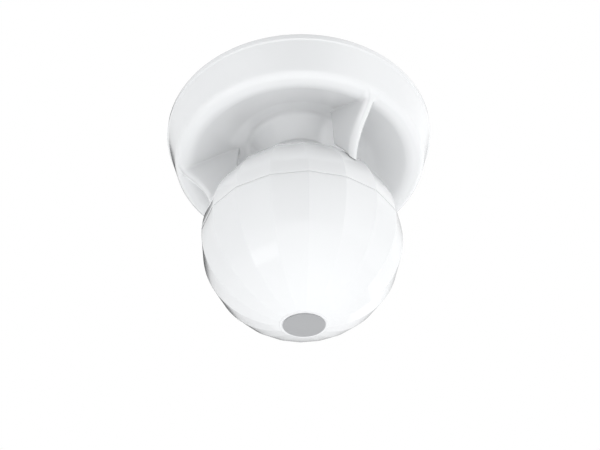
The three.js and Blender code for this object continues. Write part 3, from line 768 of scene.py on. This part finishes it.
def joint(x, y, z, r=0.95, h=0.75):
    # a concave cone of solder round the cut end of a pin
    v, f = revolve([(0, z + 0.02), (r, z + 0.02), (r * 0.98, z - 0.04), (r * 0.62, z - h * 0.3), (r * 0.4, z - h * 0.72), (r * 0.34, z - h), (0, z - h * 1.04)], 16, closed=False, centre=(x, y))
    add(joints, v, f)


for k in range(6):
    joint(-6.35 + 2.54 * k, 14.5, RADAR_UNDER - 0.04, 0.8, 0.7)
for x, y in [(22.0, -17.0), (10.0, -17.0), (22.0, -7.0), (10.0, -8.0), (-23.5, -17.5), (-10.5, -17.5), (-10.5, -4.5), (-23.5, -4.5), (21.5, 12.5), (16.8, 16.0),
             (4.2, 21.2), (7.8, 21.2), (-8.2, 23.8), (-3.8, 24.2)] + [(-19.2 + 2.8 * k, 18.2) for k in range(4)]:
    if abs(x) < 19.6 and -16.6 < y < 20.6:
        continue                                   # behind the radar board
    joint(x, y, BOARD_UNDER)
make("solder_joints", *joints, "solder", "head", angle=50)

# chip legs, surface resistors and capacitors round the microcontroller
legs, chips, caps, ends = ([], []), ([], []), ([], []), ([], [])
MX, MY = 24.5, 4.0
for side in range(4):
    for k in range(8):
        t = -3.15 + 0.9 * k
        leg = ([], [])
        block(leg, 4.45, 4.95, t - 0.17, t + 0.17, BOARD_UNDER - 0.95, BOARD_UNDER - 0.75)
        block(leg, 4.80, 5.00, t - 0.17, t + 0.17, BOARD_UNDER - 0.95, BOARD_UNDER - 0.05)
        block(leg, 4.80, 5.55, t - 0.17, t + 0.17, BOARD_UNDER - 0.18, BOARD_UNDER - 0.02)
        add(legs, turned(leg[0], 90 * side, (MX, MY, 0)), leg[1])
for n, (x, y, a, kind) in enumerate([(33.4, 2.0, 90, 0), (33.4, 6.0, 90, 1), (30.8, 13.0, 0, 0), (27.2, 15.0, 0, 1), (23.4, 14.2, 90, 0), (24.8, -5.6, 0, 1), (28.6, -6.8, 0, 0), (32.4, -4.4, 90, 1),
                                     (-26.5, 12.4, 90, 0), (-26.5, -11.6, 90, 0), (-29.8, 10.6, 0, 1), (-23.4, -12.6, 0, 1)]):
    w = 1.6
    body = ([], [])
    block(body, -w / 2 + 0.3, w / 2 - 0.3, -0.42, 0.42, BOARD_UNDER - (0.75 if kind else 0.5), BOARD_UNDER - 0.02)
    add(caps if kind else chips, turned(body[0], a, (x, y, 0)), body[1])
    for sx in (-1, 1):
        e = ([], [])
        block(e, min(sx * (w / 2 - 0.32), sx * w / 2), max(sx * (w / 2 - 0.32), sx * w / 2), -0.45, 0.45, BOARD_UNDER - (0.78 if kind else 0.53), BOARD_UNDER - 0.01)
        block(e, min(sx * (w / 2 - 0.1), sx * (w / 2 + 0.3)), max(sx * (w / 2 - 0.1), sx * (w / 2 + 0.3)), -0.5, 0.5, BOARD_UNDER - 0.2, BOARD_UNDER - 0.005)
        add(ends, turned(e[0], a, (x, y, 0)), e[1])
add(ends, *legs)
make("surface_part_ends_and_chip_legs", *ends, "solder", "head", angle=20)
make("surface_resistors", *chips, "chip_black", "head", angle=20)
make("surface_capacitors", *caps, "smd_tan", "head", angle=20)


# ------------------------------------------------------------------ tamper spring: a round-wire coil built to the height of the CAD spring's box; the real spring shortens as the plunger is pressed
lo, hi = [np.array(c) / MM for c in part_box("tamper_spring")]
blo, bhi = [np.array(c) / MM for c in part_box("tamper_switch_body")]
sx, sy = (blo[:2] + bhi[:2]) / 2
WIRE, COIL_R, TURNS, STEPS, SIDES = 0.18, 1.65, 3, 96, 10
sv, sf = [], []
for k in range(STEPS + 1):
    a = 2 * math.pi * TURNS * k / STEPS
    z = hi[2] - WIRE - (hi[2] - lo[2] - 2 * WIRE) * k / STEPS
    for q in range(SIDES):
        t = 2 * math.pi * q / SIDES
        rr = COIL_R + WIRE * math.cos(t)
        sv.append((sx + rr * math.cos(a), sy + rr * math.sin(a), z + WIRE * math.sin(t)))
for k in range(STEPS):
    for q in range(SIDES):
        u, w = k * SIDES + q, k * SIDES + (q + 1) % SIDES
        sf.append((u, w, w + SIDES, u + SIDES))
sf.append(tuple(range(SIDES)))
sf.append(tuple(STEPS * SIDES + q for q in range(SIDES)))
spring_slot = [s["material_slot"] for s in frame["record"]["subparts"] if s["node"] == "tamper_spring"][0]
spring = make("tamper_spring_coil", sv, sf, spring_slot, "head", ["tamper_spring"], angle=60)
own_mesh(spring)

# ------------------------------------------------------------------ camera, light, floor
def camera():
    P = Vector((-20.71, -270.34, -289.30)) * MM
    pitch, yaw, roll = math.radians(40.17), math.radians(0.15 - 4.38), math.radians(1.49)
    f = Vector((0, math.cos(pitch), math.sin(pitch)))
    r = Vector((1, 0, 0))
    Rz = Matrix.Rotation(yaw, 3, "Z")
    f, r = Rz @ f, Rz @ r
    d = f.cross(r)
    r2 = math.cos(roll) * r + math.sin(roll) * d
    d2 = -math.sin(roll) * r + math.cos(roll) * d
    M = Matrix((r2, -d2, -f)).transposed()
    cam = bpy.data.cameras.new("camera")
    cam.sensor_width = 36.0
    cam.sensor_fit = "HORIZONTAL"
    cam.lens = 680.656 / 600 * 36.0
    cam.clip_start, cam.clip_end = 0.01, 50
    o = bpy.data.objects.new("camera", cam)
    o.matrix_world = Matrix.Translation(P) @ M.to_4x4()
    scene.collection.objects.link(o)
    scene.camera = o
    return o


camera()


def area(name, loc, target, size, power, colour=(1, 1, 1)):
    l = bpy.data.lights.new(name, "AREA")
    l.shape = "RECTANGLE"
    l.size, l.size_y = size
    l.energy = power
    l.color = colour
    o = bpy.data.objects.new(name, l)
    o.location = loc
    o.rotation_euler = (Vector(target) - Vector(loc)).to_track_quat("-Z", "Y").to_euler()
    scene.collection.objects.link(o)
    return o


CENTRE = (0, 0, -0.065)
# strength of each part of the studio: even light, then light from below, right, left, front, back and above, the two
# soft boxes, and what the gloss mirrors: all round, below the horizon, right, left, above, behind and below, and a window
LIGHT = (0.469, 0.0, 0.165, 0.614, 0.0, 0.0, 0.839, 1.865, 0.524, 0.22, 0.0, 1.054, 0.605, 0.018, 0.3, 1.3)
if LIGHT[7] > 0:
    area("under", (0.15, -0.35, -1.15), CENTRE, (1.5, 1.5), 4.0 * LIGHT[7]).visible_glossy = False
if LIGHT[8] > 0:
    area("key", (0.95, -0.75, -0.65), CENTRE, (0.5, 0.5), 4.0 * LIGHT[8]).visible_glossy = False

if LIGHT[15] > 0:
    window = area("window", (-0.90, -0.42, -0.84), CENTRE, (0.85, 0.30), 0.45 * LIGHT[15])
    window.visible_diffuse = False

world = bpy.data.worlds.new("studio")
scene.world = world
world.use_nodes = True
wn = world.node_tree
wn.nodes.clear()


def wnode(kind, **inputs):
    n = wn.nodes.new(kind)
    for k, v in inputs.items():
        n.inputs[k].default_value = v
    return n


def lobe(direction, lo, hi, out_lo, out_hi):
    """Smooth patch of the studio seen round a direction."""
    d = wn.nodes.new("ShaderNodeVectorMath")
    d.operation = "DOT_PRODUCT"
    wn.links.new(tcw.outputs["Generated"], d.inputs[0])
    d.inputs[1].default_value = Vector(direction).normalized()
    m = wn.nodes.new("ShaderNodeMapRange")
    m.interpolation_type = "SMOOTHSTEP"
    for k, v in zip(("From Min", "From Max", "To Min", "To Max"), (lo, hi, out_lo, out_hi)):
        m.inputs[k].default_value = v
    wn.links.new(d.outputs["Value"], m.inputs["Value"])
    return m.outputs["Result"]


def combine(op, a, b):
    m = wn.nodes.new("ShaderNodeMath")
    m.operation = op
    wn.links.new(a, m.inputs[0])
    wn.links.new(b, m.inputs[1])
    return m.outputs[0]


def backdrop(strength):
    b = wn.nodes.new("ShaderNodeBackground")
    b.inputs["Color"].default_value = (0.985, 0.992, 1.0, 1)
    if hasattr(strength, "links") or hasattr(strength, "is_linked"):
        wn.links.new(strength, b.inputs["Strength"])
    else:
        b.inputs["Strength"].default_value = strength
    return b.outputs[0]


tcw = wn.nodes.new("ShaderNodeTexCoord")
lp = wn.nodes.new("ShaderNodeLightPath")
outw = wn.nodes.new("ShaderNodeOutputWorld")
cam_bg = wn.nodes.new("ShaderNodeBackground")
cam_bg.inputs["Color"].default_value = (1, 1, 1, 1)
cam_bg.inputs["Strength"].default_value = 1.0
even = wn.nodes.new("ShaderNodeValue")
even.outputs[0].default_value = LIGHT[0]
total = even.outputs[0]
for direction, strength in zip(((0, 0, -1), (1, 0, 0), (-1, 0, 0), (0, -1, 0), (0, 1, 0), (0, 0, 1)), LIGHT[1:7]):
    if strength > 0:
        total = combine("ADD", total, lobe(direction, 0.0, 1.0, 0.0, strength))
diffuse_bg = backdrop(total)
# two dark flags behind the object draw its outline on the left and along the top
FLAGS = ((-14.0, 5.0), (-3.0, 19.0), (-13.0, -6.0))
cam_m = scene.camera.matrix_world.to_3x3()
right_v, up_v, ahead_v = cam_m.col[0].copy(), cam_m.col[1].copy(), -cam_m.col[2]
flags = None
for left_deg, up_deg in FLAGS:
    d = ahead_v + right_v * math.tan(math.radians(left_deg)) + up_v * math.tan(math.radians(up_deg))
    f = lobe(d, 0.9511, 0.9900, 1.0, 0.05)
    flags = f if flags is None else combine("MULTIPLY", flags, f)
round_about = wn.nodes.new("ShaderNodeValue")
round_about.outputs[0].default_value = LIGHT[9]
seen = round_about.outputs[0]
for (direction, lo, hi), strength in zip((((0, 0, -1), 0.58, 0.74), ((1, 0, 0), 0.0, 0.8), ((-1, 0, 0), 0.0, 0.8), ((0, 0, 1), 0.1, 0.8),
                                          ((0.05, 0.85, -0.5), 0.35, 0.9)), LIGHT[10:15]):
    if strength > 0:
        seen = combine("ADD", seen, lobe(direction, lo, hi, 0.0, strength))
glossy_bg = backdrop(combine("MULTIPLY", seen, flags))
m1 = wn.nodes.new("ShaderNodeMixShader")
wn.links.new(lp.outputs["Is Glossy Ray"], m1.inputs["Fac"])
wn.links.new(diffuse_bg, m1.inputs[1])
wn.links.new(glossy_bg, m1.inputs[2])
m2 = wn.nodes.new("ShaderNodeMixShader")
wn.links.new(lp.outputs["Is Camera Ray"], m2.inputs["Fac"])
wn.links.new(m1.outputs[0], m2.inputs[1])
wn.links.new(cam_bg.outputs[0], m2.inputs[2])
wn.links.new(m2.outputs[0], outw.inputs["Surface"])

floor_me = bpy.data.meshes.new("floor")
S = 4.0
floor_me.from_pydata([(-S, -S, -1.3), (S, -S, -1.3), (S, S, -1.3), (-S, S, -1.3)], [], [(0, 1, 2, 3)])
floor = bpy.data.objects.new("floor", floor_me)
scene.collection.objects.link(floor)
fm, fnt, fb = new_material("floor_pale")
nt_vec = coords(fnt)
fnt.links.new(ramp(fnt, noise(fnt, nt_vec, 3.0, 3.0), [(0.3, (0.78, 0.78, 0.78)), (0.7, (0.82, 0.82, 0.82))]), fb.inputs["Base Color"])
fb.inputs["Roughness"].default_value = 0.8
floor_me.materials.append(fm)

scene.view_settings.view_transform = "Standard"
scene.view_settings.look = "None"
scene.view_settings.exposure = 0.0
scene.view_settings.gamma = 1.0
